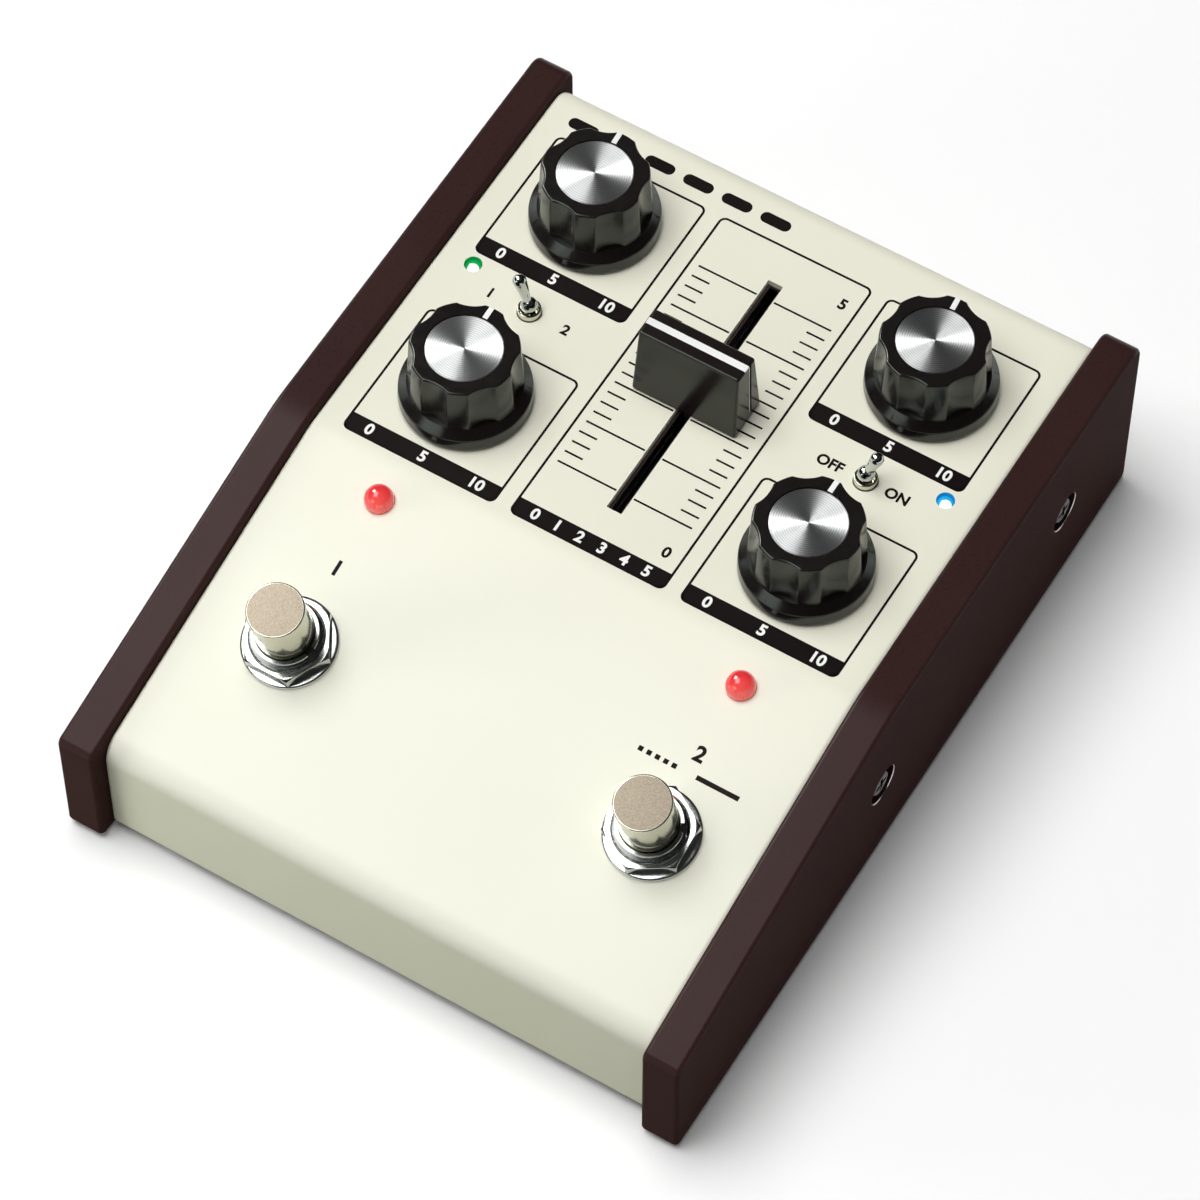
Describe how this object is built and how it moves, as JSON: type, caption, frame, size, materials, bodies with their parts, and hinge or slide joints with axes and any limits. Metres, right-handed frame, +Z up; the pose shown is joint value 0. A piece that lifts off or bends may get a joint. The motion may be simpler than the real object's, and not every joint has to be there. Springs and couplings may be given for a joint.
{
  "type": "delay pedal",
  "caption": "Delay pedal for an instrument: a cream folded case with a sloping front between two dark cheeks, fluted knobs, a slide fader, toggles, lamps and foot switches.",
  "frame": {"origin": "under the middle of the cheeks, on the surface that the rubber feet stand on", "axes": "+X to the right as seen by the player, +Y to the rear, +Z up"},
  "size_m": [0.1162, 0.1492, 0.0541],
  "materials": {
    "cream_paint": "satin",
    "cheek_brown": "painted",
    "knob_black": "gloss",
    "spun_disc": "spun",
    "pointer_white": "satin",
    "cap_black": "satin",
    "control_steel": "satin",
    "nickel": "polished",
    "button_nickel": "satin",
    "bright_chrome": "polished",
    "screw_steel": "plain",
    "zinc_plate": "plain",
    "circuit_board": "satin",
    "board_parts": "matte",
    "ribbon_grey": "satin",
    "seal_black": "matte",
    "socket_black": "satin",
    "foot_rubber": "matte",
    "red_lens": "clear",
    "green_lens": "clear",
    "blue_lens": "clear"
  },
  "bodies": {
    "case": {"shell": "cream_paint", "bottom_plate": "zinc_plate", "left_cheek": "cheek_brown", "right_cheek": "cheek_brown", "cheek_screws": "screw_steel", "cheek_nuts": "zinc_plate", "bottom_screws": "screw_steel", "rubber_feet": "foot_rubber", "main_board": "circuit_board", "board_components": "board_parts", "foot_board": "circuit_board", "ribbon_cable": "ribbon_grey", "pot_washers": "control_steel", "pot_nuts": "control_steel", "fader_frame": "control_steel", "fader_seal": "seal_black", "left_toggle_body": "bright_chrome", "right_toggle_body": "bright_chrome", "green_led": "green_lens", "blue_led": "blue_lens", "left_red_led": "red_lens", "right_red_led": "red_lens", "left_foot_switch": "nickel", "right_foot_switch": "nickel", "foot_switch_washers": "nickel", "foot_switch_nuts": "nickel", "input_jack": "socket_black", "output_jack": "socket_black", "jack_nuts": "nickel", "power_jack": "socket_black", "rear_left_pot": "control_steel", "front_left_pot": "control_steel", "rear_right_pot": "control_steel", "front_right_pot": "control_steel"},
    "rear_left_dial": {"rear_left_pot_shaft": "control_steel", "rear_left_knob": "knob_black", "rear_left_knob_disc": "spun_disc", "rear_left_knob_pointer": "pointer_white"},
    "front_left_dial": {"front_left_pot_shaft": "control_steel", "front_left_knob": "knob_black", "front_left_knob_disc": "spun_disc", "front_left_knob_pointer": "pointer_white"},
    "rear_right_dial": {"rear_right_pot_shaft": "control_steel", "rear_right_knob": "knob_black", "rear_right_knob_disc": "spun_disc", "rear_right_knob_pointer": "pointer_white"},
    "front_right_dial": {"front_right_pot_shaft": "control_steel", "front_right_knob": "knob_black", "front_right_knob_disc": "spun_disc", "front_right_knob_pointer": "pointer_white"},
    "fader": {"fader_lever": "control_steel", "fader_cap": "cap_black", "fader_cap_line": "pointer_white"},
    "left_toggle": {"left_toggle_lever": "bright_chrome"},
    "right_toggle": {"right_toggle_lever": "bright_chrome"},
    "left_button": {"left_foot_button": "button_nickel"},
    "right_button": {"right_foot_button": "button_nickel"}
  },
  "joints": [
    {"name": "rear_left_dial_turn", "type": "hinge", "parent": "case", "child": "rear_left_dial", "pos_m": [-0.0322, 0.04975, 0.0391], "axis": [0, 0, 1], "range_deg": [-153.5, 146.5]},
    {"name": "front_left_dial_turn", "type": "hinge", "parent": "case", "child": "front_left_dial", "pos_m": [-0.0322, 0.00895, 0.0391], "axis": [0, 0, 1], "range_deg": [-152, 148]},
    {"name": "rear_right_dial_turn", "type": "hinge", "parent": "case", "child": "rear_right_dial", "pos_m": [0.0322, 0.04975, 0.0391], "axis": [0, 0, 1], "range_deg": [-155, 145]},
    {"name": "front_right_dial_turn", "type": "hinge", "parent": "case", "child": "front_right_dial", "pos_m": [0.0322, 0.00895, 0.0391], "axis": [0, 0, 1], "range_deg": [-150, 150]},
    {"name": "fader_slide", "type": "slide", "parent": "case", "child": "fader", "axis": [0, 1, 0], "range_m": [-0.0225, 0.0225]},
    {"name": "left_toggle_flip", "type": "hinge", "parent": "case", "child": "left_toggle", "pos_m": [-0.032, 0.02845, 0.04115], "axis": [0, 1, 0], "range_deg": [0, 34.8]},
    {"name": "right_toggle_flip", "type": "hinge", "parent": "case", "child": "right_toggle", "pos_m": [0.032, 0.02845, 0.04115], "axis": [0, 1, 0], "range_deg": [-34.8, 0]},
    {"name": "left_button_press", "type": "slide", "parent": "case", "child": "left_button", "axis": [0, 0.2147, -0.9767], "range_m": [0, 0.003], "stiffness_N_per_m": 1200, "springref_m": -0.002},
    {"name": "right_button_press", "type": "slide", "parent": "case", "child": "right_button", "axis": [0, 0.2147, -0.9767], "range_m": [0, 0.003], "stiffness_N_per_m": 1200, "springref_m": -0.002}
  ]
}
